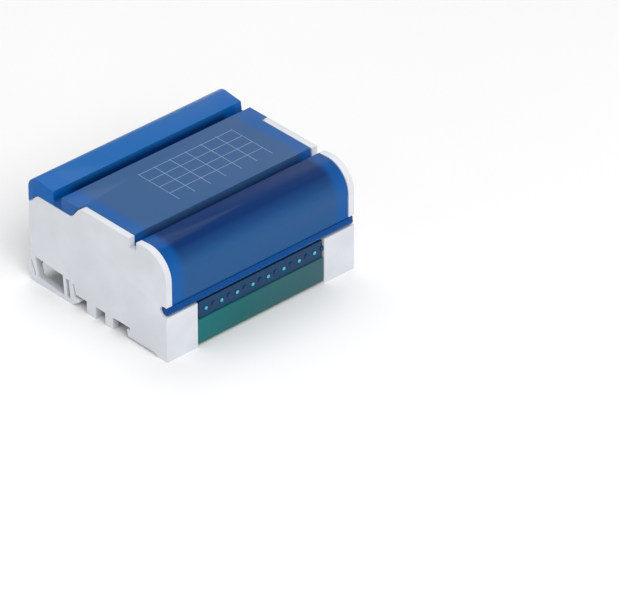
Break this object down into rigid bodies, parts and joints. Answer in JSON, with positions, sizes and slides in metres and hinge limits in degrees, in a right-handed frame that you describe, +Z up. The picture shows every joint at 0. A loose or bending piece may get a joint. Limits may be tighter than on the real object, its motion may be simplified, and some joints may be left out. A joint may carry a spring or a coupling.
{
  "type": "power distribution block",
  "caption": "Stepped multi-pole power distribution block for a top-hat rail: brass screw-terminal bars in insulating trays under a hinged translucent cover.",
  "frame": {"origin": "middle of the outer box's lower face, on the plane that the feet stand on", "axes": "+X along the bars, -Y to the front where the cover's lip is, +Z up, away from the rail"},
  "size_m": [0.1088, 0.0918, 0.0536],
  "materials": {
    "cap_plastic": "satin moulded plastic",
    "green_plastic": "glossy tinted plastic",
    "tray_plastic": "glossy tinted plastic",
    "cover_plastic": "clear tinted plastic",
    "brass": "drawn bar",
    "screw_steel": "plated",
    "fixing_steel": "yellow plated"
  },
  "bodies": {
    "base": {"left_cap": "cap_plastic", "right_cap": "cap_plastic", "floor_plate": "green_plastic", "front_panel": "green_plastic", "back_panel": "green_plastic", "row1_tray": "tray_plastic", "row2_tray": "tray_plastic", "row3_tray": "tray_plastic", "row4_tray": "tray_plastic", "row1_bar": "brass", "row2_bar": "brass", "row3_bar": "brass", "row4_bar": "brass", "row1_screws": "screw_steel", "row2_screws": "screw_steel", "row3_screws": "screw_steel", "row4_screws": "screw_steel", "left_fixing_screws": "fixing_steel", "right_fixing_screws": "fixing_steel"},
    "cover": {"cover": "cover_plastic"}
  },
  "joints": [
    {"name": "cover_hinge", "type": "hinge", "parent": "base", "child": "cover", "pos_m": [0, -0.04362, 0.0251], "axis": [1, 0, 0], "range_deg": [0, 105]}
  ]
}
